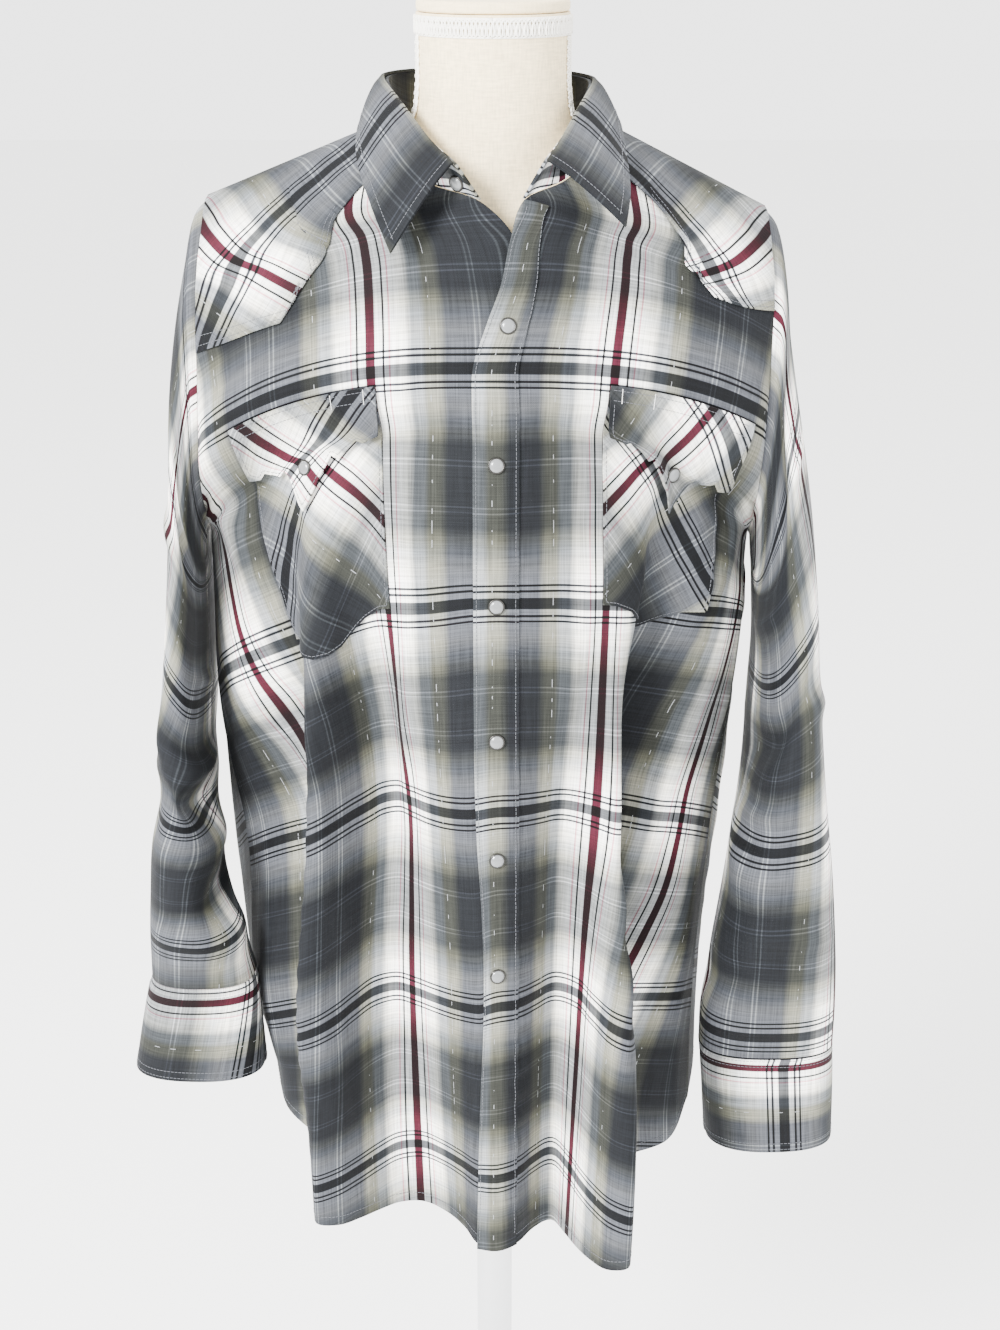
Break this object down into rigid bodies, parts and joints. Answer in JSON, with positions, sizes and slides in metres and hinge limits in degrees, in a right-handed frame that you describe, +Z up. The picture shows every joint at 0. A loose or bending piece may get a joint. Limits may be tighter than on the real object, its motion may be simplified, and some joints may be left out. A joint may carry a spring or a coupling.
{
  "type": "western snap shirt on a limbless dress form",
  "caption": "Long-sleeved plaid western shirt with saw-tooth yokes and flaps and pearl snaps, worn by a limbless dress form on a pole and round base",
  "frame": {"origin": "centre of the underside of the dress form's round base", "axes": "+Z up, the shirt's front faces -Y, the wearer's right is -X"},
  "size_m": [0.5195, 0.3658, 1.3],
  "materials": {
    "plaid_shirting": "light cotton shirting, woven shadow plaid",
    "pearl_snap": "pearlised cap in a thin metal rim",
    "cream_linen": "cream linen cover",
    "neck_cap_cloth": "cream cloth cap edged with braid",
    "pole_steel": "satin steel tube",
    "base_enamel": "white enamel"
  },
  "bodies": {
    "root": {"front_right": "plaid_shirting", "front_left": "plaid_shirting", "back": "plaid_shirting", "sleeve_right": "plaid_shirting", "sleeve_left": "plaid_shirting", "cuff_right": "plaid_shirting", "cuff_left": "plaid_shirting", "collar": "plaid_shirting", "collar_stand": "plaid_shirting", "yoke_right": "plaid_shirting", "yoke_left": "plaid_shirting", "yoke_back": "plaid_shirting", "placket": "plaid_shirting", "pocket_right": "plaid_shirting", "pocket_left": "plaid_shirting", "pocket_flap_right": "plaid_shirting", "pocket_flap_left": "plaid_shirting", "snap_front_1": "pearl_snap", "snap_front_2": "pearl_snap", "snap_front_3": "pearl_snap", "snap_front_4": "pearl_snap", "snap_front_5": "pearl_snap", "snap_front_6": "pearl_snap", "snap_stand": "pearl_snap", "snap_flap_right": "pearl_snap", "snap_flap_left": "pearl_snap", "form_torso": "cream_linen", "form_cap": "neck_cap_cloth", "form_pole": "pole_steel", "form_base": "base_enamel"}
  },
  "joints": []
}
